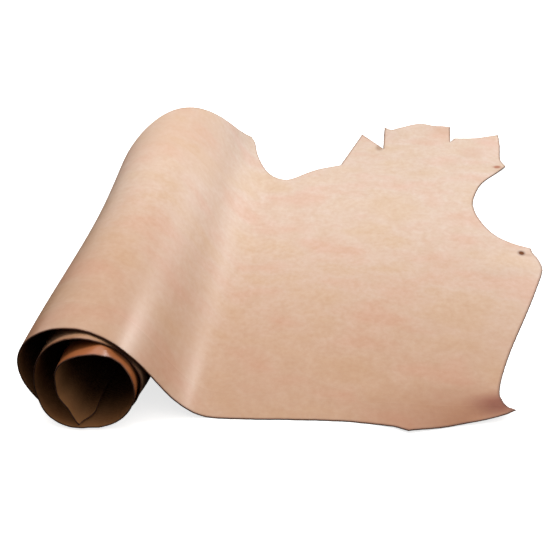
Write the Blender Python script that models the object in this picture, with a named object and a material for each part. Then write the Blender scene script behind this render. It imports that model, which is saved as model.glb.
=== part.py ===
"""A half hide of undyed leather. Its butt end is wound into a loose roll, and its neck and fore-leg end lies flat.

The hide is cut flat, as one sheet, and then rolled up. On the flat cut, u runs along the backbone towards the neck
and y runs from the backbone edge towards the belly. The sheet lifts off the ground at the foot of the roll, and u
is below FOOT_U from there on. The roll's axis is along Y. The grain side is up where the hide lies flat, and
outside on the roll."""

import math

import bmesh
import bpy
import numpy as np

THICKNESS = 0.0022
FOOT_U = -0.030
FOOT_HEADING = 180

# How the grain side winds: a row for each place where the winding is known, from the foot of the roll inwards.
# Heading is the way the sheet travels there, in degrees from +X towards +Z, and it grows by 360 with each turn.
# near_y and far_y are the backbone edge and the belly edge at that place, so the inner turns stand out of the
# roll's near end, as their near_y says.
ROLL = (
    # place, x, z, heading, near_y, far_y
    ("slope", -0.118, 0.0685, 123, -0.004, 0.950),
    ("first top", -0.243, 0.1625, 180, -0.011, 0.822),
    ("first left", -0.327, 0.090, 270, -0.015, 0.590),
    ("first heel", -0.304, 0.030, 308, -0.016, 0.582),
    ("set down", -0.251, 0.000, 360, -0.018, 0.575),
    ("set down end", -0.205, 0.000, 360, -0.020, 0.575),
    ("first right", -0.1315, 0.068, 450, -0.012, 0.590),
    ("second shoulder", -0.167, 0.122, 497, -0.006, 0.600),
    ("second top", -0.225, 0.1543, 540, -0.0235, 0.620),
    ("second left", -0.301, 0.068, 630, -0.027, 0.650),
    ("second heel", -0.2835, 0.0218, 672, -0.040, 0.660),
    ("second bottom", -0.240, 0.0036, 720, -0.0475, 0.665),
    ("second bottom end", -0.208, 0.0036, 720, -0.0445, 0.665),
    ("second right", -0.145, 0.066, 810, -0.030, 0.660),
    ("third shoulder", -0.170, 0.1163, 857, -0.022, 0.640),
    ("third top", -0.2005, 0.1405, 900, -0.0425, 0.620),
    ("third left", -0.2605, 0.094, 990, -0.046, 0.570),
    ("slant", -0.260, 0.061, 1003, -0.045, 0.540),
    ("slant end", -0.2475, 0.0415, 1020, -0.047, 0.520),
    ("third bottom", -0.222, 0.0072, 1080, -0.049, 0.430),
    ("last", -0.196, 0.0106, 1095, -0.049, 0.300),
)

# The butt end's cut edge inside the roll, from the belly side to the backbone. Past is how much further round it
# lies than the third bottom.
BUTT_END = (
    # past, y
    (-0.020, 0.470),
    (0.004, 0.400),
    (0.016, 0.300),
    (0.018, 0.200),
    (0.014, 0.100),
    (0.010, 0.000),
    (0.008, -0.017),
    (0.002, -0.027),
    (-0.005, -0.034),
)
BACKBONE_CORNER = (-0.010, -0.049)

# The cut edge of the part that lies flat, from the foot of the roll round to the belly. A corner is a sharp turn.
FLAT_EDGE = (
    # feature, u, y, corner
    ("foot", 0.000, 0.000, False),
    ("backbone", 0.100, 0.007, False),
    ("backbone", 0.177, 0.010, False),
    ("backbone", 0.235, 0.004, False),
    ("backbone kink", 0.266, -0.007, True),
    ("neck, backbone side", 0.314, 0.007, False),
    ("neck, backbone side", 0.356, 0.020, False),
    ("neck, backbone side", 0.409, 0.035, False),
    ("neck tip", 0.431, 0.047, True),
    ("neck hollow", 0.412, 0.077, False),
    ("neck hollow", 0.415, 0.124, False),
    ("neck end", 0.439, 0.214, False),
    ("neck end", 0.481, 0.339, False),
    ("neck end", 0.507, 0.420, False),
    ("cheek", 0.527, 0.491, False),
    ("cheek", 0.524, 0.531, False),
    ("cheek", 0.516, 0.557, False),
    ("cheek corner", 0.515, 0.574, True),
    ("fore-leg hollow", 0.484, 0.589, False),
    ("fore-leg hollow", 0.452, 0.617, False),
    ("fore-leg hollow", 0.426, 0.671, False),
    ("fore-leg hollow", 0.413, 0.742, False),
    ("fore-leg hollow", 0.422, 0.804, False),
    ("fore-leg hollow", 0.445, 0.865, False),
    ("fore-leg point", 0.499, 0.940, True),
    ("fore-leg end", 0.491, 0.980, False),
    ("fore-leg end", 0.497, 1.060, False),
    ("fore-leg corner", 0.499, 1.128, True),
    ("fore-leg side", 0.440, 1.103, False),
    ("step", 0.391, 1.097, True),
    ("step notch", 0.380, 1.074, True),
    ("step corner", 0.383, 1.155, True),
    ("fore-leg side", 0.345, 1.165, False),
    ("fore-leg side", 0.308, 1.180, False),
    ("fore-leg side", 0.262, 1.143, False),
    ("fore-leg side", 0.238, 1.124, False),
    ("second tip", 0.221, 1.136, True),
    ("slit", 0.219, 1.021, True),
    ("first tip", 0.167, 1.099, True),
    ("arm-pit corner", 0.122, 0.920, True),
    ("arm-pit", 0.067, 0.889, False),
    ("arm-pit", 0.016, 0.838, False),
    ("arm-pit", -0.011, 0.836, False),
    ("arm-pit", -0.041, 0.865, False),
    ("belly", -0.072, 0.925, False),
    ("belly", -0.088, 0.976, False),
    ("belly corner", -0.102, 0.987, True),
)

# Where an edge stands a little off the ground.
LIFTS = (
    # feature, u, y, reach, height
    ("neck tip", 0.450, 0.050, 0.110, 0.013),
    ("neck, backbone side", 0.380, 0.015, 0.090, 0.004),
    ("backbone kink", 0.268, -0.010, 0.070, 0.004),
    ("fore-leg point", 0.510, 0.950, 0.070, 0.004),
    ("second tip", 0.225, 1.150, 0.090, 0.006),
    ("step corner", 0.385, 1.165, 0.070, 0.005),
)

HOLE_U = 0.494
HOLE_Y = 0.553
HOLE_RADIUS = 0.0052
HOLE_SIDES = 12
PUNCH_LENGTH = 0.028

WAIST_DRAW = 0.045  # the roll is this share narrower at its waist than at its ends
WAIST_Y = 0.400
WAIST_REACH = 0.420

EDGE_STEP = 0.025
TURN_STEP = 9.0  # degrees of winding between two creases of the sheet
FLAT_STEP = 0.055
ACROSS_STEP = 0.110
LEAST_STRIPS = 2  # flat strips between two rows of ROLL
SNAP = 0.0005
CURVE_SAMPLES = 200
SHARP_ANGLE = math.radians(40)

LEATHER_COLOUR = (0.70, 0.47, 0.31, 1.0)
LEATHER_ROUGHNESS = 0.45


def clear_scene():
    for obj in list(bpy.data.objects):
        bpy.data.objects.remove(obj)


def leather_material():
    material = bpy.data.materials.new("undyed_leather")
    material.use_nodes = True
    shader = material.node_tree.nodes["Principled BSDF"]
    shader.inputs["Base Color"].default_value = LEATHER_COLOUR
    shader.inputs["Roughness"].default_value = LEATHER_ROUGHNESS
    shader.inputs["Metallic"].default_value = 0.0
    return material


def eased(share):
    """From 0 to 1 with a soft start and a soft end."""
    return share * share * (3 - 2 * share)


class Winding:
    """The grain side's curve in X and Z, from the foot of the roll inwards, by length along the sheet."""

    def __init__(self):
        foot = ("foot", FOOT_U, THICKNESS, FOOT_HEADING)
        points = [np.array([foot[1:3]])]
        headings = [np.array([FOOT_HEADING])]
        self.row_index = {"foot": 0}
        self.stretches = list(zip([foot, *ROLL], ROLL))
        for start, end in self.stretches:
            bend, heading = self.bend(start, end)
            points.append(bend)
            headings.append(heading)
            self.row_index[end[0]] = self.row_index[start[0]] + CURVE_SAMPLES
        self.points = np.concatenate(points)
        self.headings = np.concatenate(headings)
        steps = np.linalg.norm(np.diff(self.points, axis=0), axis=1)
        self.lengths = np.concatenate([[0.0], np.cumsum(steps)])

    @staticmethod
    def bend(start, end):
        """A curve between two rows, with handles as long as a circular arc with the same turn would have."""
        first = np.array(start[1:3])
        last = np.array(end[1:3])
        turns = np.radians([start[3], end[3]])
        handle = np.linalg.norm(last - first) / (3 * math.cos((turns[1] - turns[0]) / 4) ** 2)
        ways = np.stack([np.cos(turns), np.sin(turns)], axis=1)
        hull = np.array([first, first + handle * ways[0], last - handle * ways[1], last])
        t = np.linspace(0, 1, CURVE_SAMPLES + 1)[1:, None]
        curve = (1 - t) ** 3 * hull[0] + 3 * (1 - t) ** 2 * t * hull[1]
        curve = curve + 3 * (1 - t) * t**2 * hull[2] + t**3 * hull[3]
        slope = (1 - t) ** 2 * (hull[1] - hull[0]) + 2 * (1 - t) * t * (hull[2] - hull[1])
        slope = slope + t**2 * (hull[3] - hull[2])
        middle = (start[3] + end[3]) / 2
        heading = np.degrees(np.arctan2(slope[:, 1], slope[:, 0]))
        return curve, heading + 360 * np.round((middle - heading) / 360)

    def u_of(self, place, past=0.0):
        return FOOT_U - self.lengths[self.row_index[place]] - past

    def at(self, u):
        """Position and outward direction of the grain side at u, in X and Z."""
        if u >= FOOT_U:
            return np.array([u, THICKNESS]), np.array([0.0, 1.0])
        length = FOOT_U - u
        place = np.array([np.interp(length, self.lengths, self.points[:, i]) for i in (0, 1)])
        outward = math.radians(np.interp(length, self.lengths, self.headings) - 90)
        return place, np.array([math.cos(outward), math.sin(outward)])

    def crease_us(self):
        """Where the sheet is creased on the roll, so that each flat strip turns by no more than TURN_STEP."""
        found = [FOOT_U]
        for first, last in self.stretches:
            start = self.u_of(first[0])
            end = self.u_of(last[0])
            count = max(LEAST_STRIPS, math.ceil(abs(last[3] - first[3]) / TURN_STEP))
            found += [start + (end - start) * i / count for i in range(1, count + 1)]
        return found


def smooth_run(corners):
    """Points along a smooth curve through the given ones, EDGE_STEP apart, without its last point."""
    rows = [2 * corners[0] - corners[1], *corners, 2 * corners[-1] - corners[-2]]
    run = []
    for before, start, end, after in zip(rows, rows[1:], rows[2:], rows[3:]):
        count = max(1, round(float(np.linalg.norm(end - start)) / EDGE_STEP))
        for t in np.arange(count) / count:
            pull = (end - before) * t + (2 * before - 5 * start + 4 * end - after) * t**2
            run.append(start + (pull + (3 * start - before - 3 * end + after) * t**3) / 2)
    return run


def cut_outline(winding):
    """The hide's whole cut edge on the flat, in u and y, the right way round for a face that looks up."""
    rolled = [(winding.u_of(row[0]), row[4], row[5]) for row in ROLL]
    kept = [row for row in rolled if row[0] > winding.u_of("slant end") - SNAP]
    backbone = [np.array([u, near]) for u, near, _ in reversed(kept)]
    belly = [np.array([u, far]) for u, _, far in kept]
    butt = [np.array([winding.u_of("third bottom", past), y]) for past, y in BUTT_END]
    corner = np.array([winding.u_of("third bottom", BACKBONE_CORNER[0]), BACKBONE_CORNER[1]])
    runs = [[corner, *backbone]]
    for _, u, y, is_corner in FLAT_EDGE:
        runs[-1].append(np.array([u, y]))
        if is_corner:
            runs.append([np.array([u, y])])
    runs[-1] += [*belly, *butt, corner]
    return [point for run in runs for point in smooth_run(run)]


def lift_at(u, y):
    total = 0.0
    for _, lift_u, lift_y, reach, height in LIFTS:
        near = 1 - math.hypot(u - lift_u, y - lift_y) / reach
        if near > 0:
            total += height * eased(near)
    return total


def rolled_up(winding, u, y, w):
    """Where a point of the flat cut goes, w above its flesh side, once the hide is rolled up."""
    grain, outward = winding.at(u)
    x, z = grain - (THICKNESS - w) * outward
    nearness = max(0.0, 1 - abs(y - WAIST_Y) / WAIST_REACH)
    if x < FOOT_U:
        x = FOOT_U + (x - FOOT_U) * (1 - WAIST_DRAW * eased(nearness))
    return x, y, z + lift_at(u, y)


def cut_hide(winding):
    """The sheet as cut, flat on the ground, creased across and along, with its thickness."""
    bm = bmesh.new()
    corners = [bm.verts.new((u, y, 0.0)) for u, y in cut_outline(winding)]
    bm.faces.new(corners)
    flat_end = max(corner.co.x for corner in corners)
    flat_count = math.ceil((flat_end - FOOT_U) / FLAT_STEP)
    lowest = min(corner.co.y for corner in corners)
    highest = max(corner.co.y for corner in corners)
    across_count = math.ceil((highest - lowest) / ACROSS_STEP)
    flat_us = [FOOT_U + (flat_end - FOOT_U) * i / flat_count for i in range(1, flat_count)]
    ys = [lowest + (highest - lowest) * i / across_count for i in range(1, across_count)]
    cuts = [((u, 0, 0), (1, 0, 0)) for u in winding.crease_us() + flat_us]
    cuts += [((0, y, 0), (0, 1, 0)) for y in ys]
    for place, normal in cuts:
        everything = [*bm.verts, *bm.edges, *bm.faces]
        bmesh.ops.bisect_plane(bm, geom=everything, dist=SNAP, plane_co=place, plane_no=normal)
    bmesh.ops.remove_doubles(bm, verts=bm.verts, dist=SNAP)
    raised = bmesh.ops.extrude_face_region(bm, geom=list(bm.faces))["geom"]
    top = [item for item in raised if isinstance(item, bmesh.types.BMVert)]
    bmesh.ops.translate(bm, verts=top, vec=(0, 0, THICKNESS))
    bmesh.ops.triangulate(bm, faces=bm.faces)
    return bm


def make_hide(material):
    """The rolled hide, standing on the ground with its box centred on the origin. Also gives that shift."""
    winding = Winding()
    bm = cut_hide(winding)
    for vert in bm.verts:
        vert.co = rolled_up(winding, *vert.co)
    bmesh.ops.recalc_face_normals(bm, faces=bm.faces)
    places = np.array([vert.co[:] for vert in bm.verts])
    middle = (places.min(axis=0) + places.max(axis=0)) / 2
    shift = (-middle[0], -middle[1], 0.0)
    bmesh.ops.translate(bm, verts=bm.verts, vec=shift)
    mesh = bpy.data.meshes.new("leather_side")
    bm.to_mesh(mesh)
    bm.free()
    mesh.shade_smooth()
    mesh.set_sharp_from_angle(angle=SHARP_ANGLE)
    mesh.materials.append(material)
    hide = bpy.data.objects.new("leather_side", mesh)
    bpy.context.scene.collection.objects.link(hide)
    return hide, shift


def punch_hole(hide, shift):
    """The small hole near the cheek, right through the sheet."""
    bm = bmesh.new()
    bmesh.ops.create_cone(
        bm, cap_ends=True, segments=HOLE_SIDES, radius1=HOLE_RADIUS, radius2=HOLE_RADIUS, depth=PUNCH_LENGTH
    )
    mesh = bpy.data.meshes.new("hole_punch")
    bm.to_mesh(mesh)
    bm.free()
    punch = bpy.data.objects.new("hole_punch", mesh)
    punch.location = (HOLE_U + shift[0], HOLE_Y + shift[1], 0.0)
    punch.hide_render = True
    punch.display_type = "WIRE"
    bpy.context.scene.collection.objects.link(punch)
    cut = hide.modifiers.new("hole", "BOOLEAN")
    cut.operation = "DIFFERENCE"
    cut.solver = "EXACT"
    cut.object = punch


clear_scene()
leather_side, centring = make_hide(leather_material())
punch_hole(leather_side, centring)
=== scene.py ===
"""The looks of a leather side: half a hide of undyed leather, with its butt end wound into a loose roll and its neck and
fore-leg end lying flat, grain side up.

The hide is cut flat, as one sheet, and then rolled up. On the flat cut, u runs along the backbone towards the neck
and y from the backbone edge towards the belly, both in metres. The sheet lifts off the ground at the foot of the
roll, and u is below FOOT_U from there on. Each point of the hide keeps its place on the flat cut, and the leather's
patterns follow that."""

import math

import bmesh
import bpy
import numpy as np
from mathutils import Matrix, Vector


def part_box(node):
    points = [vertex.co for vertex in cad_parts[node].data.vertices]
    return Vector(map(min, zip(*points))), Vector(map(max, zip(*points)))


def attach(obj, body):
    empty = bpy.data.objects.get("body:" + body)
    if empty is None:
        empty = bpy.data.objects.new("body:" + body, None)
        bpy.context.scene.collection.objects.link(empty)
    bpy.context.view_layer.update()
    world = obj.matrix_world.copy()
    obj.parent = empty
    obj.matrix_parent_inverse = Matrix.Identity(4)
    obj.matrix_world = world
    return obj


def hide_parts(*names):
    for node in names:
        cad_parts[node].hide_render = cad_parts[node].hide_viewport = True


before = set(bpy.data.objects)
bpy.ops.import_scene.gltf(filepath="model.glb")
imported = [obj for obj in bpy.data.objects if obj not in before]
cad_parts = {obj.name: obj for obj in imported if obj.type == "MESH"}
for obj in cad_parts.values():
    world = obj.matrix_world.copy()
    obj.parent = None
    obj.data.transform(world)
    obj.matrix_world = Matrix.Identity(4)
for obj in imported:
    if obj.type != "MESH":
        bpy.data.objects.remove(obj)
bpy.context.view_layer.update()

THICKNESS = 0.0022
FOOT_U = -0.030
FOOT_HEADING = 180

# How the grain side winds: a row for each place where the winding is known, from the foot of the roll inwards.
# Heading is the way the sheet travels there, in degrees from +X towards +Z, and it grows by 360 with each turn.
# near_y and far_y are the backbone edge and the belly edge at that place.
ROLL = (
    # place, x, z, heading, near_y, far_y
    ("slope", -0.118, 0.0685, 123, -0.004, 0.950),
    ("first top", -0.243, 0.1625, 180, -0.011, 0.822),
    ("first left", -0.327, 0.090, 270, -0.015, 0.590),
    ("first heel", -0.304, 0.030, 308, -0.016, 0.582),
    ("set down", -0.251, 0.000, 360, -0.018, 0.575),
    ("set down end", -0.205, 0.000, 360, -0.020, 0.575),
    ("first right", -0.1315, 0.068, 450, -0.012, 0.590),
    ("second shoulder", -0.167, 0.122, 497, -0.006, 0.600),
    ("second top", -0.225, 0.1543, 540, -0.0235, 0.620),
    ("second left", -0.301, 0.068, 630, -0.027, 0.650),
    ("second heel", -0.2835, 0.0218, 672, -0.040, 0.660),
    ("second bottom", -0.240, 0.0036, 720, -0.0475, 0.665),
    ("second bottom end", -0.208, 0.0036, 720, -0.0445, 0.665),
    ("second right", -0.145, 0.066, 810, -0.030, 0.660),
    ("third shoulder", -0.170, 0.1163, 857, -0.022, 0.640),
    ("third top", -0.2005, 0.1405, 900, -0.0425, 0.620),
    ("third left", -0.2605, 0.094, 990, -0.046, 0.570),
    ("slant", -0.260, 0.061, 1003, -0.045, 0.540),
    ("slant end", -0.2475, 0.0415, 1020, -0.047, 0.520),
    ("third bottom", -0.222, 0.0072, 1080, -0.049, 0.430),
    ("last", -0.196, 0.0106, 1095, -0.049, 0.300),
)

# The butt end's cut edge inside the roll, from the belly side to the backbone. Past is how much further round it
# lies than the third bottom.
BUTT_END = (
    # past, y
    (-0.020, 0.470),
    (0.004, 0.400),
    (0.016, 0.300),
    (0.018, 0.200),
    (0.014, 0.100),
    (0.010, 0.000),
    (0.008, -0.017),
    (0.002, -0.027),
    (-0.005, -0.034),
)
BACKBONE_CORNER = (-0.010, -0.049)

# The cut edge of the part that lies flat, from the foot of the roll round to the belly. A corner is a sharp turn.
FLAT_EDGE = (
    # feature, u, y, corner
    ("foot", 0.000, 0.000, False),
    ("backbone", 0.100, 0.007, False),
    ("backbone", 0.177, 0.010, False),
    ("backbone", 0.235, 0.004, False),
    ("backbone kink", 0.266, -0.007, True),
    ("neck, backbone side", 0.314, 0.007, False),
    ("neck, backbone side", 0.356, 0.020, False),
    ("neck, backbone side", 0.409, 0.035, False),
    ("neck tip", 0.431, 0.047, True),
    ("neck hollow", 0.412, 0.077, False),
    ("neck hollow", 0.415, 0.124, False),
    ("neck end", 0.439, 0.214, False),
    ("neck end", 0.481, 0.339, False),
    ("neck end", 0.507, 0.420, False),
    ("cheek", 0.527, 0.491, False),
    ("cheek", 0.524, 0.531, False),
    ("cheek", 0.516, 0.557, False),
    ("cheek corner", 0.515, 0.574, True),
    ("fore-leg hollow", 0.484, 0.589, False),
    ("fore-leg hollow", 0.452, 0.617, False),
    ("fore-leg hollow", 0.426, 0.671, False),
    ("fore-leg hollow", 0.413, 0.742, False),
    ("fore-leg hollow", 0.422, 0.804, False),
    ("fore-leg hollow", 0.445, 0.865, False),
    ("fore-leg point", 0.499, 0.940, True),
    ("fore-leg end", 0.491, 0.980, False),
    ("fore-leg end", 0.497, 1.060, False),
    ("fore-leg corner", 0.499, 1.128, True),
    ("fore-leg side", 0.440, 1.103, False),
    ("step", 0.391, 1.097, True),
    ("step notch", 0.380, 1.074, True),
    ("step corner", 0.383, 1.155, True),
    ("fore-leg side", 0.345, 1.165, False),
    ("fore-leg side", 0.308, 1.180, False),
    ("fore-leg side", 0.262, 1.143, False),
    ("fore-leg side", 0.238, 1.124, False),
    ("second tip", 0.221, 1.136, True),
    ("slit", 0.219, 1.021, True),
    ("first tip", 0.167, 1.099, True),
    ("arm-pit corner", 0.122, 0.920, True),
    ("arm-pit", 0.067, 0.889, False),
    ("arm-pit", 0.016, 0.838, False),
    ("arm-pit", -0.011, 0.836, False),
    ("arm-pit", -0.041, 0.865, False),
    ("belly", -0.072, 0.925, False),
    ("belly", -0.088, 0.976, False),
    ("belly corner", -0.102, 0.987, True),
)

# Soft ridges, troughs and lifted edges. Heading is the way that the form runs on the flat cut, in degrees from the
# u axis, and height is how far the sheet stands out there, away from its flesh side.
SWELLS = (
    # feature, u, y, heading, half_length, half_width, height
    ("neck tip", 0.450, 0.050, 0, 0.110, 0.110, 0.0130),
    ("neck, backbone side", 0.380, 0.015, 0, 0.090, 0.090, 0.0040),
    ("backbone kink", 0.268, -0.010, 0, 0.070, 0.070, 0.0040),
    ("trough behind the neck's lip", 0.400, 0.050, 28, 0.062, 0.022, -0.0060),
    ("fore-leg point", 0.510, 0.950, 0, 0.070, 0.070, 0.0040),
    ("second tip", 0.225, 1.150, 0, 0.090, 0.090, 0.0060),
    ("step corner", 0.385, 1.165, 0, 0.070, 0.070, 0.0050),
    ("ridge across the shoulder", 0.300, 0.320, 62, 0.210, 0.050, 0.0022),
    ("ridge behind it", 0.180, 0.440, 70, 0.260, 0.060, 0.0015),
    ("ridge to the arm-pit", 0.060, 0.760, 100, 0.160, 0.045, 0.0020),
    ("ridge up the fore-leg", 0.330, 0.960, 75, 0.190, 0.050, 0.0028),
    ("ridge to the fore-leg corner", 0.430, 1.020, 48, 0.120, 0.035, 0.0022),
    ("ridge by the cheek", 0.455, 0.500, 20, 0.090, 0.050, 0.0018),
    ("dent at the roll's top", -0.300, 0.560, 80, 0.160, 0.060, -0.0012),
    ("ridge on the roll", -0.340, 0.250, 95, 0.200, 0.050, 0.0010),
    ("butt end, off the turn below", -1.512, 0.030, 90, 0.080, 0.045, -0.0075),
)

# Where the near edge of the second turn is curled in towards the middle of the roll, and by how much. Past is how
# much further round it is than the place.
CURL = (
    # place, past, amount
    ("set down end", 0.000, 0.0000),
    ("set down end", 0.056, 0.0060),
    ("set down end", 0.085, 0.0080),
    ("first right", 0.000, 0.0068),
    ("first right", 0.035, 0.0040),
    ("second shoulder", 0.000, 0.0008),
    ("second top", 0.000, 0.0000),
)
CURL_REACH = 0.060

# Holes right through the sheet.
PIERCINGS = (
    # feature, u, y, heading, half_length, half_width
    ("hole near the cheek", 0.494, 0.553, 0, 0.0056, 0.0017),
    ("slit near the fore-leg point", 0.4795, 0.938, 38, 0.0090, 0.0018),
)
PIERCING_SIDES = 16

# Brown rubs round the slit, and blotches that took more tan. Painted shade in and round the hole and along the crease
# from it, and a painted shadow at the root of the slit between the tips.
STAINS_AND_PAINTED_SHADE = (
    # feature, u, y, reach along u, reach along y, strength, colour
    # Painted shade: dark brown in and round the hole, for the shade seen through it.
    ("painted shade in and round the hole", 0.494, 0.552, 0.0110, 0.0150, 0.95, "#6a3f28"),
    # Painted shade along the small crease from the hole.
    ("painted shade along the crease from the hole", 0.507, 0.545, 0.0140, 0.0090, 0.45, "#a57a5e"),
    ("rub round the slit", 0.4795, 0.938, 0.0140, 0.0110, 0.80, "#a35c42"),
    # Painted shadow at the root of the slit, where the first tip overlaps.
    ("painted shadow at the root of the slit between the tips", 0.210, 1.023, 0.0140, 0.0260, 0.60, "#8f6a52"),
    ("blotch on the fore-leg", 0.428, 1.015, 0.0450, 0.0450, 0.40, "#c79d86"),
    ("blotch by the fore-leg corner", 0.470, 1.085, 0.0450, 0.0600, 0.35, "#cfa08d"),
    ("blotch at the step", 0.360, 1.120, 0.0500, 0.0600, 0.35, "#d0a083"),
    ("tan at the roll's far end", -0.300, 0.760, 0.2400, 0.2600, 0.45, "#c39a7b"),
)

INNER_EDGE_ORANGE = (-1.300, -0.045, 0.620, 0.070)  # middle u and y, and how far it reaches each way
PIERCING_REACH = 0.020

WAIST_DRAW = 0.045  # the roll is this share narrower at its waist than at its ends
WAIST_Y = 0.400
WAIST_REACH = 0.420

EDGE_STEP = 0.007
TURN_STEP = 3.5  # degrees of winding between two lines of the mesh
FLAT_STEP = 0.010
ACROSS_STEP = 0.010
SNAP = 0.0004
CURVE_SAMPLES = 200
EDGE_WAVER = 0.0006  # how far the knife strayed
RIM_WIDTH = 0.0012  # the cut edge's worn border, on the grain side and on the flesh side
RIM_DROP = 0.0007
SHARP_ANGLE = math.radians(25)

PLACE = "place_on_the_cut"  # the attribute that keeps u, y and the height in the thickness
FROM_EDGE = "distance_from_the_cut_edge"

# The camera that took the photograph, found from the roll's straight sides and the width of the hide.
CAMERA_PLACE = (0.0834, -1.7471, 0.9996)
CAMERA_DOWN = 32.0  # degrees below level
CAMERA_LEFT = 5.5  # degrees from +Y towards -X
LENS = 64.3
SENSOR = 36.0

# The white cloths round the table: the way they lie, how bright they are, and the cosines between which they fade.
CLOTH_WAY = (0.25, 0.77, 0.59)
CLOTH_BRIGHTNESS = 1.20
CLOTH_FADE = (-0.60, 1.0)


def eased(share):
    """From 0 to 1 with a soft start and a soft end."""
    return share * share * (3 - 2 * share)


def form_distance(u, y, form):
    """How far a place on the cut is from the middle of a form: 0 there, and 1 at the form's rim."""
    _, form_u, form_y, heading, half_length, half_width = form
    turn = math.radians(heading)
    along = (u - form_u) * math.cos(turn) + (y - form_y) * math.sin(turn)
    across = (y - form_y) * math.cos(turn) - (u - form_u) * math.sin(turn)
    return np.hypot(along / half_length, across / half_width)


class Winding:
    """The grain side's curve in X and Z, from the foot of the roll inwards, by length along the sheet."""

    def __init__(self):
        foot = ("foot", FOOT_U, THICKNESS, FOOT_HEADING)
        points = [np.array([foot[1:3]])]
        headings = [np.array([FOOT_HEADING])]
        self.row_index = {"foot": 0}
        self.stretches = list(zip([foot, *ROLL], ROLL))
        for start, end in self.stretches:
            bend, heading = self.bend(start, end)
            points.append(bend)
            headings.append(heading)
            self.row_index[end[0]] = self.row_index[start[0]] + CURVE_SAMPLES
        self.points = np.concatenate(points)
        self.headings = np.concatenate(headings)
        steps = np.linalg.norm(np.diff(self.points, axis=0), axis=1)
        self.lengths = np.concatenate([[0.0], np.cumsum(steps)])

    @staticmethod
    def bend(start, end):
        """A curve between two rows, with handles as long as a circular arc with the same turn would have."""
        first = np.array(start[1:3])
        last = np.array(end[1:3])
        turns = np.radians([start[3], end[3]])
        handle = np.linalg.norm(last - first) / (3 * math.cos((turns[1] - turns[0]) / 4) ** 2)
        ways = np.stack([np.cos(turns), np.sin(turns)], axis=1)
        hull = np.array([first, first + handle * ways[0], last - handle * ways[1], last])
        t = np.linspace(0, 1, CURVE_SAMPLES + 1)[1:, None]
        curve = (1 - t) ** 3 * hull[0] + 3 * (1 - t) ** 2 * t * hull[1]
        curve = curve + 3 * (1 - t) * t**2 * hull[2] + t**3 * hull[3]
        slope = (1 - t) ** 2 * (hull[1] - hull[0]) + 2 * (1 - t) * t * (hull[2] - hull[1])
        slope = slope + t**2 * (hull[3] - hull[2])
        middle = (start[3] + end[3]) / 2
        heading = np.degrees(np.arctan2(slope[:, 1], slope[:, 0]))
        return curve, heading + 360 * np.round((middle - heading) / 360)

    def u_of(self, place, past=0.0):
        return FOOT_U - self.lengths[self.row_index[place]] - past

    def at(self, u):
        """X, Z and the outward direction of the grain side at each u, in the foot's own frame."""
        length = np.maximum(FOOT_U - u, 0)
        x = np.interp(length, self.lengths, self.points[:, 0]) + np.maximum(u - FOOT_U, 0)
        z = np.interp(length, self.lengths, self.points[:, 1])
        return x, z, np.radians(np.interp(length, self.lengths, self.headings) - 90)

    def line_us(self):
        """Where lines of the mesh cross the roll, so that each strip turns by no more than TURN_STEP."""
        found = [FOOT_U]
        for first, last in self.stretches:
            start = self.u_of(first[0])
            end = self.u_of(last[0])
            by_turn = abs(last[3] - first[3]) / TURN_STEP
            count = math.ceil(max(by_turn, (start - end) / FLAT_STEP))
            found += [start + (end - start) * i / count for i in range(1, count + 1)]
        return found


def smooth_run(corners):
    """Points along a smooth curve through the given ones, EDGE_STEP apart, without its last point."""
    rows = [2 * corners[0] - corners[1], *corners, 2 * corners[-1] - corners[-2]]
    run = []
    for before, start, end, after in zip(rows, rows[1:], rows[2:], rows[3:]):
        count = max(1, round(float(np.linalg.norm(end - start)) / EDGE_STEP))
        for t in np.arange(count) / count:
            pull = (end - before) * t + (2 * before - 5 * start + 4 * end - after) * t**2
            run.append(start + (pull + (3 * start - before - 3 * end + after) * t**3) / 2)
    return run


def cut_outline(winding):
    """The hide's whole cut edge on the flat, in u and y, the right way round for a face that looks up."""
    rolled = [(winding.u_of(row[0]), row[4], row[5]) for row in ROLL]
    kept = [row for row in rolled if row[0] > winding.u_of("slant end") - SNAP]
    backbone = [np.array([u, near]) for u, near, _ in reversed(kept)]
    belly = [np.array([u, far]) for u, _, far in kept]
    butt = [np.array([winding.u_of("third bottom", past), y]) for past, y in BUTT_END]
    corner = np.array([winding.u_of("third bottom", BACKBONE_CORNER[0]), BACKBONE_CORNER[1]])
    runs = [[corner, *backbone]]
    for _, u, y, is_corner in FLAT_EDGE:
        runs[-1].append(np.array([u, y]))
        if is_corner:
            runs.append([np.array([u, y])])
    runs[-1] += [*belly, *butt, corner]
    outline = []
    for run in runs:
        points = smooth_run(run)
        outline.append(points[0])
        for point in points[1:]:
            stray = math.sin(point[0] * 310 + point[1] * 170) + math.sin(point[0] * 140 - point[1] * 390)
            outline.append(point + EDGE_WAVER * stray * np.array([0.7, 0.7]) / 2)
    return outline


def pierce(bm, piercing):
    """Cuts a small hole through the flat sheet, one side at a time, and deletes what is inside."""
    _, u, y, heading, half_length, half_width = piercing
    middle = Vector((u, y, 0.0))
    turn = math.radians(heading)
    along = Vector((math.cos(turn), math.sin(turn), 0.0)) * half_length
    across = Vector((-math.sin(turn), math.cos(turn), 0.0)) * half_width
    angles = [2 * math.pi * (i + 0.5) / PIERCING_SIDES for i in range(PIERCING_SIDES + 1)]
    rim = [middle + along * math.cos(angle) + across * math.sin(angle) for angle in angles]
    for start, end in zip(rim, rim[1:]):
        side = end - start
        near = [face for face in bm.faces if (face.calc_center_median() - middle).length < PIERCING_REACH]
        near_edges = {edge for face in near for edge in face.edges}
        near_verts = {vert for face in near for vert in face.verts}
        bmesh.ops.bisect_plane(
            bm, geom=[*near_verts, *near_edges, *near], dist=SNAP / 10,
            plane_co=start, plane_no=(side.y, -side.x, 0.0),
        )
    shape = ("", *piercing[1:])
    inside = [face for face in bm.faces if form_distance(*face.calc_center_median()[:2], shape) < 0.98]
    bmesh.ops.delete(bm, geom=inside, context="FACES")


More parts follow.
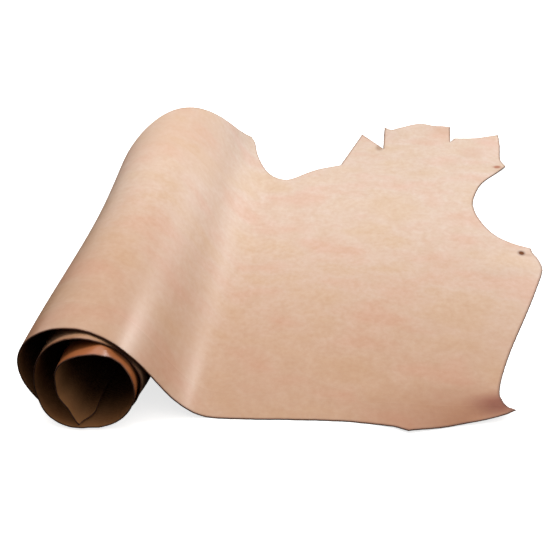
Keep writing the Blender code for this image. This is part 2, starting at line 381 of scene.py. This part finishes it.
def cut_hide(winding):
    """The sheet as cut, flat on the ground, with its lines across and along, its holes and its thickness. The border
    along the cut edge slopes down from both sides, as a knife-cut edge wears."""
    bm = bmesh.new()
    corners = [bm.verts.new((u, y, 0.0)) for u, y in cut_outline(winding)]
    sheet = bm.faces.new(corners)
    sheet.normal_update()
    bmesh.ops.inset_region(bm, faces=[sheet], thickness=RIM_WIDTH, use_even_offset=True, use_boundary=True)
    flat_end = max(corner.co.x for corner in corners)
    flat_count = math.ceil((flat_end - FOOT_U) / FLAT_STEP)
    lowest = min(corner.co.y for corner in corners)
    highest = max(corner.co.y for corner in corners)
    across_count = math.ceil((highest - lowest) / ACROSS_STEP)
    flat_us = [FOOT_U + (flat_end - FOOT_U) * i / flat_count for i in range(1, flat_count)]
    ys = [lowest + (highest - lowest) * i / across_count for i in range(1, across_count)]
    cuts = [((u, 0, 0), (1, 0, 0)) for u in winding.line_us() + flat_us]
    cuts += [((0, y, 0), (0, 1, 0)) for y in ys]
    for place, normal in cuts:
        everything = [*bm.verts, *bm.edges, *bm.faces]
        bmesh.ops.bisect_plane(bm, geom=everything, dist=SNAP, plane_co=place, plane_no=normal)
    bmesh.ops.remove_doubles(bm, verts=bm.verts, dist=SNAP)
    on_rim = bm.verts.layers.float.new("on_rim")
    for vert in bm.verts:
        vert[on_rim] = 1.0 if vert.is_boundary else 0.0
    for piercing in PIERCINGS:
        pierce(bm, piercing)
    raised = bmesh.ops.extrude_face_region(bm, geom=list(bm.faces))["geom"]
    top = [item for item in raised if isinstance(item, bmesh.types.BMVert)]
    bmesh.ops.translate(bm, verts=top, vec=(0, 0, THICKNESS))
    for vert in bm.verts:
        vert.co.z += RIM_DROP * vert[on_rim] * (-1 if vert.co.z > THICKNESS / 2 else 1)
    bmesh.ops.recalc_face_normals(bm, faces=bm.faces)
    return bm


def distance_from_edge(winding, places):
    """How far each place on the flat cut is from the hide's cut edge, in metres."""
    outline = np.array(cut_outline(winding))
    nearest = np.full(len(places), np.inf)
    for start, end in zip(outline, np.roll(outline, -1, axis=0)):
        side = end - start
        share = np.clip((places - start) @ side / (side @ side), 0, 1)
        offset = places - start - share[:, None] * side
        nearest = np.minimum(nearest, np.hypot(offset[:, 0], offset[:, 1]))
    return nearest


def curl_at(winding, u, y):
    """How far a place near the backbone edge is curled in, for arrays of u and y."""
    around = [-winding.u_of(place, past) for place, past, _ in CURL]
    amount = np.interp(-u, around, [row[2] for row in CURL])
    near_edge = np.interp(-u, [-winding.u_of(row[0]) for row in ROLL], [row[4] for row in ROLL])
    return amount * eased(np.clip(1 - (y - near_edge) / CURL_REACH, 0, 1))


def rolled_up(winding, u, y, w):
    """Where points of the flat cut go, w above the flesh side, once the hide is rolled up. All are arrays."""
    x, z, outward = winding.at(u)
    swell = np.zeros(len(u))
    for *form, height in SWELLS:
        swell += height * eased(np.clip(1 - form_distance(u, y, form), 0, 1))
    swell -= curl_at(winding, u, y)
    x = x - (THICKNESS - w - swell) * np.cos(outward)
    z = z - (THICKNESS - w - swell) * np.sin(outward)
    nearness = eased(np.clip(1 - np.abs(y - WAIST_Y) / WAIST_REACH, 0, 1))
    drawn = FOOT_U + (x - FOOT_U) * (1 - WAIST_DRAW * nearness)
    return np.stack([np.where(x < FOOT_U, drawn, x), y, z], axis=1)


def make_hide(materials):
    """The hide, rolled up where its solid is, with its place on the flat cut kept at every point."""
    winding = Winding()
    bm = cut_hide(winding)
    for face in bm.faces:
        face.smooth = True
        face.material_index = 0 if face.normal.z > 0.95 else 1 if face.normal.z < -0.95 else 2
    mesh = bpy.data.meshes.new("leather_sheet")
    bm.to_mesh(mesh)
    bm.free()
    cut = np.empty(len(mesh.vertices) * 3, np.float32)
    mesh.vertices.foreach_get("co", cut)
    attribute = mesh.attributes.new(PLACE, "FLOAT_VECTOR", "POINT")
    attribute.data.foreach_set("vector", cut)
    flat = cut.reshape(-1, 3).astype(float)
    attribute = mesh.attributes.new(FROM_EDGE, "FLOAT", "POINT")
    attribute.data.foreach_set("value", distance_from_edge(winding, flat[:, :2]).astype(np.float32))
    places = rolled_up(winding, *flat.T)
    low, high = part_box("leather_side")
    middle = (places.min(axis=0) + places.max(axis=0)) / 2
    places[:, 0] += (low.x + high.x) / 2 - middle[0]
    places[:, 1] += (low.y + high.y) / 2 - middle[1]
    mesh.vertices.foreach_set("co", places.astype(np.float32).ravel())
    mesh.update()
    mesh.set_sharp_from_angle(angle=SHARP_ANGLE)
    for material in materials:
        mesh.materials.append(material)
    hide = bpy.data.objects.new("leather_sheet", mesh)
    bpy.context.scene.collection.objects.link(hide)
    return hide


def linear(hex_colour):
    """An sRGB hex colour as linear RGBA."""
    channels = [int(hex_colour[i : i + 2], 16) / 255 for i in (1, 3, 5)]
    return (*[c / 12.92 if c <= 0.04045 else ((c + 0.055) / 1.055) ** 2.4 for c in channels], 1.0)


def add(tree, kind, inputs=(), **settings):
    """Adds a node with its settings. Inputs pairs a socket's name or number with its value or what feeds it."""
    node = tree.nodes.new("ShaderNode" + kind)
    for name, value in settings.items():
        setattr(node, name, value)
    for name, value in inputs:
        if isinstance(value, bpy.types.NodeSocket):
            tree.links.new(value, node.inputs[name])
        else:
            node.inputs[name].default_value = value
    return node


FACTOR, COLOUR_A, COLOUR_B, MIXED = 0, 6, 7, 2  # the colour sockets of a Mix node


def new_material(name):
    material = bpy.data.materials.new(name)
    material.use_nodes = True
    tree = material.node_tree
    return material, tree, tree.nodes["Principled BSDF"]


def spread(tree, place, size_u, size_y, size_w=1.0):
    """The place on the cut, counted in patches of the given size in metres."""
    return add(
        tree, "Mapping", [("Vector", place), ("Scale", (1 / size_u, 1 / size_y, 1 / size_w))], vector_type="POINT"
    ).outputs["Vector"]


def clouds(tree, where, detail=2.0, rough=0.5):
    return add(
        tree, "TexNoise", [("Vector", where), ("Scale", 1.0), ("Detail", detail), ("Roughness", rough)]
    ).outputs["Fac"]


def scaled(tree, value, low, high, to_low=0.0, to_high=1.0, ramp="LINEAR"):
    return add(
        tree, "MapRange",
        [("Value", value), ("From Min", low), ("From Max", high), ("To Min", to_low), ("To Max", to_high)],
        interpolation_type=ramp,
    ).outputs["Result"]


def combined(tree, operation, first, second):
    return add(tree, "Math", [(0, first), (1, second)], operation=operation).outputs["Value"]


def mixed(tree, factor, first, second, blend="MIX"):
    return add(
        tree, "Mix", [(FACTOR, factor), (COLOUR_A, first), (COLOUR_B, second)], data_type="RGBA", blend_type=blend
    ).outputs[MIXED]


def near_to(tree, place, u, y, size_u, size_y):
    """1 at a place on the cut, and 0 from the given distance on."""
    centred = add(
        tree, "Mapping",
        [("Vector", place), ("Location", (-u / size_u, -y / size_y, 0.0)), ("Scale", (1 / size_u, 1 / size_y, 0.0))],
        vector_type="POINT",
    ).outputs["Vector"]
    length = add(tree, "VectorMath", [(0, centred)], operation="LENGTH").outputs["Value"]
    return add(
        tree, "MapRange", [("Value", length), ("From Min", 1.0), ("From Max", 0.0)], interpolation_type="SMOOTHSTEP"
    ).outputs["Result"]


def tinted(tree, colour, factor, tint):
    """The colour multiplied by a tint, as far as the factor goes."""
    return mixed(tree, factor, colour, linear(tint), "MULTIPLY")


def grain_leather():
    """Undyed vegetable-tanned cattle leather, grain side, rolled smooth and lightly waxed: a pale, warm skin tone
    with a painted sheen that makes it paler and less orange towards the belly, mottled pink and straw, with fine
    pores and a soft sheen."""
    material, tree, shader = new_material("vegetable_tanned_grain")
    place = add(tree, "Attribute", attribute_name=PLACE).outputs["Vector"]
    parts = add(tree, "SeparateXYZ", [("Vector", place)])
    along, across = parts.outputs["X"], parts.outputs["Y"]
    # Painted sheen: the base colour is paler and less orange towards the belly, where the grazing sheen lies.
    painted_sheen_to_belly = scaled(tree, across, -0.05, 0.85, ramp="SMOOTHSTEP")
    colour = mixed(tree, painted_sheen_to_belly, linear("#b69277"), linear("#d5c2b6"))
    broad = clouds(tree, spread(tree, place, 0.150, 0.095), detail=2.0)
    colour = tinted(tree, colour, scaled(tree, broad, 0.35, 0.50, 1.0, 0.0), "#fdf9ef")
    colour = tinted(tree, colour, scaled(tree, broad, 0.50, 0.65), "#fff3ef")
    patches = clouds(tree, spread(tree, place, 0.030, 0.040), detail=4.0, rough=0.6)
    colour = tinted(tree, colour, scaled(tree, patches, 0.35, 0.65, 0.8, 0.0), "#f7f0e5")
    flecks = clouds(tree, spread(tree, place, 0.010, 0.012), detail=3.0, rough=0.6)
    colour = tinted(tree, colour, scaled(tree, flecks, 0.30, 0.70), "#f8efe8")
    # The neck is drawn darker and more orange towards its backbone side, and the inner turns' backbone edge more
    # orange. The corner behind the neck's lifted tip is darker and more orange still: partly its own colour, partly
    # painted shade on its steep far wall.
    neck = near_to(tree, place, 0.440, 0.010, 0.330, 0.150)
    colour = tinted(tree, colour, scaled(tree, neck, 0.0, 0.8), "#d6b18c")
    # Painted shade at the neck's corner, over its more orange colour.
    corner = near_to(tree, place, 0.408, 0.068, 0.070, 0.040)
    colour = tinted(tree, colour, scaled(tree, corner, 0.0, 0.9), "#d09768")
    # The inner turns' backbone edge is drawn more orange.
    inner_edge_orange = near_to(tree, place, *INNER_EDGE_ORANGE)
    colour = tinted(tree, colour, scaled(tree, inner_edge_orange, 0.0, 0.5), "#f0b884")
    dull = 0.0
    # The stains, with the painted shade and painted shadow marks among them.
    for _, u, y, size_u, size_y, strength, stain_or_shade in STAINS_AND_PAINTED_SHADE:
        cover = scaled(tree, near_to(tree, place, u, y, size_u, size_y), 0.0, 0.7, 0.0, strength)
        colour = mixed(tree, cover, colour, linear(stain_or_shade))
        dull = combined(tree, "MAXIMUM", dull, scaled(tree, cover, 0.45, 0.90))
    # The grain is drawn a little darker along the cut edge.
    from_edge = add(tree, "Attribute", attribute_name=FROM_EDGE).outputs["Fac"]
    colour = tinted(tree, colour, scaled(tree, from_edge, 0.0012, 0.0050, 1.0, 0.0), "#c3ae9f")
    tree.links.new(colour, shader.inputs["Base Color"])
    tree.links.new(scaled(tree, patches, 0.3, 0.7, 0.46, 0.54), shader.inputs["Roughness"])
    # Pores are about 0.3 mm apart, too fine to show, so they are drawn 1.6 mm apart and very shallow.
    pores = add(
        tree, "TexVoronoi", [("Vector", spread(tree, place, 0.0016, 0.0016, 0.0016)), ("Scale", 1.0)], feature="F1"
    ).outputs["Distance"]
    fine = clouds(tree, spread(tree, place, 0.0060, 0.0045), detail=4.0, rough=0.6)
    bump = add(tree, "Bump", [("Strength", 0.08), ("Distance", 0.0004), ("Height", pores)])
    bump = add(
        tree, "Bump", [("Strength", 0.15), ("Distance", 0.0006), ("Height", fine), ("Normal", bump.outputs["Normal"])]
    )
    tree.links.new(bump.outputs["Normal"], shader.inputs["Normal"])
    shader.inputs["IOR"].default_value = 1.50
    # The backbone is polished, and there is less wax away from it, and duller.
    wax = combined(tree, "MULTIPLY", scaled(tree, across, 0.00, 0.22, 0.60, 0.22), scaled(tree, along, 0.05, 0.25, 1.0, 0.5))
    tree.links.new(combined(tree, "MULTIPLY", wax, scaled(tree, dull, 0.0, 1.0, 1.0, 0.0)), shader.inputs["Coat Weight"])
    tree.links.new(scaled(tree, dull, 0.0, 1.0, 0.5, 0.0), shader.inputs["Specular IOR Level"])
    tree.links.new(scaled(tree, across, 0.00, 0.26, 0.21, 0.48), shader.inputs["Coat Roughness"])
    return material


def flesh_leather():
    """The same hide's flesh side, shaved and left rough: browner than the grain and quite matt, with a short nap."""
    material, tree, shader = new_material("shaved_flesh_side")
    place = add(tree, "Attribute", attribute_name=PLACE).outputs["Vector"]
    broad = clouds(tree, spread(tree, place, 0.060, 0.045), detail=3.0)
    colour = mixed(tree, scaled(tree, broad, 0.3, 0.7), linear("#ca9160"), linear("#b67a4b"))
    # Painted shade: the flesh side is darkened inside the roll, and left lighter towards the roll's two ends.
    across = add(tree, "SeparateXYZ", [("Vector", place)]).outputs["Y"]
    inside = combined(tree, "MULTIPLY", scaled(tree, across, -0.050, 0.035), scaled(tree, across, 0.60, 0.50))
    colour = tinted(tree, colour, inside, "#5e5049")
    nap = clouds(tree, spread(tree, place, 0.0050, 0.0022), detail=4.0, rough=0.7)
    colour = mixed(tree, scaled(tree, nap, 0.4, 0.75, 0.0, 0.5), colour, linear("#bd8e64"))
    tree.links.new(colour, shader.inputs["Base Color"])
    bump = add(tree, "Bump", [("Strength", 0.6), ("Distance", 0.0010), ("Height", nap)])
    tree.links.new(bump.outputs["Normal"], shader.inputs["Normal"])
    shader.inputs["Roughness"].default_value = 0.95
    shader.inputs["Specular IOR Level"].default_value = 0.2
    return material


def edge_leather():
    """The hide's knife-cut edge: brown, matt and fibrous, with the layers of the leather running along it, and
    painted darker for the shade the edge stands in.
    """
    material, tree, shader = new_material("knife_cut_edge_painted_dark")
    place = add(tree, "Attribute", attribute_name=PLACE).outputs["Vector"]
    layers = clouds(tree, spread(tree, place, 0.009, 0.009, 0.0007), detail=3.0)
    # Painted shade: both browns are darker than the cut edge's own colour, for the shade on an edge that faces away
    # from the light.
    colour = mixed(tree, scaled(tree, layers, 0.35, 0.65), linear("#41261a"), linear("#63402b"))
    tree.links.new(colour, shader.inputs["Base Color"])
    bump = add(tree, "Bump", [("Strength", 0.5), ("Distance", 0.0004), ("Height", layers)])
    tree.links.new(bump.outputs["Normal"], shader.inputs["Normal"])
    shader.inputs["Roughness"].default_value = 0.85
    return material


def floor_paper():
    """A pale, matt paper floor, lit through a little from below so that it stays near white."""
    material, tree, shader = new_material("white_studio_paper")
    shader.inputs["Base Color"].default_value = linear("#f4f4f4")
    shader.inputs["Roughness"].default_value = 0.9
    shader.inputs["Specular IOR Level"].default_value = 0.1
    shader.inputs["Emission Color"].default_value = linear("#ffffff")
    shader.inputs["Emission Strength"].default_value = 0.76
    return material


def make_floor():
    bm = bmesh.new()
    bmesh.ops.create_grid(bm, x_segments=1, y_segments=1, size=12.0)
    mesh = bpy.data.meshes.new("floor")
    bm.to_mesh(mesh)
    bm.free()
    mesh.materials.append(floor_paper())
    floor = bpy.data.objects.new("floor", mesh)
    floor.visible_diffuse = False
    floor.visible_glossy = False
    bpy.context.scene.collection.objects.link(floor)


def make_light(name, place, aim, size_x, size_y, watts, colour):
    """A soft box: a rectangle of light at a place, turned towards a point."""
    data = bpy.data.lights.new(name, "AREA")
    data.shape = "RECTANGLE"
    data.size = size_x
    data.size_y = size_y
    data.energy = watts
    data.color = linear(colour)[:3]
    light = bpy.data.objects.new(name, data)
    light.location = place
    light.rotation_euler = (Vector(aim) - Vector(place)).to_track_quat("-Z", "Y").to_euler()
    bpy.context.scene.collection.objects.link(light)


def make_world():
    """Soft light from white cloths above and behind, fading to a dark room on the camera's side and below."""
    world = bpy.data.worlds.new("studio")
    world.use_nodes = True
    tree = world.node_tree
    background = tree.nodes["Background"]
    background.inputs["Color"].default_value = linear("#fffaf4")
    way = add(tree, "TexCoord").outputs["Generated"]
    towards = add(tree, "VectorMath", [(0, way), (1, CLOTH_WAY)], operation="DOT_PRODUCT").outputs["Value"]
    cloth = add(
        tree, "MapRange",
        [("Value", towards), ("From Min", CLOTH_FADE[0]), ("From Max", CLOTH_FADE[1]), ("To Max", CLOTH_BRIGHTNESS)],
        interpolation_type="SMOOTHSTEP",
    ).outputs["Result"]
    height = add(tree, "SeparateXYZ", [("Vector", way)]).outputs["Z"]
    strength = combined(tree, "MULTIPLY", cloth, scaled(tree, height, -0.05, 0.10))
    tree.links.new(strength, background.inputs["Strength"])
    bpy.context.scene.world = world


def make_studio():
    make_world()
    make_light("overhead_box", (-0.10, -0.20, 1.50), (-0.10, -0.10, 0.0), 0.30, 0.30, 11.0, "#fffdfa")
    make_light("back_right_box", (0.95, 1.40, 0.56), (-0.20, -0.40, 0.08), 0.28, 0.36, 6.5, "#ffffff")
    bpy.context.scene.view_settings.view_transform = "Standard"


def make_camera():
    data = bpy.data.cameras.new("camera")
    data.lens = LENS
    data.sensor_width = SENSOR
    camera = bpy.data.objects.new("camera", data)
    camera.location = CAMERA_PLACE
    camera.rotation_euler = (math.radians(90 - CAMERA_DOWN), 0.0, math.radians(CAMERA_LEFT))
    bpy.context.scene.collection.objects.link(camera)
    bpy.context.scene.camera = camera


hide = make_hide([grain_leather(), flesh_leather(), edge_leather()])
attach(hide, "root")
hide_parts("leather_side")
make_floor()
make_studio()
make_camera()
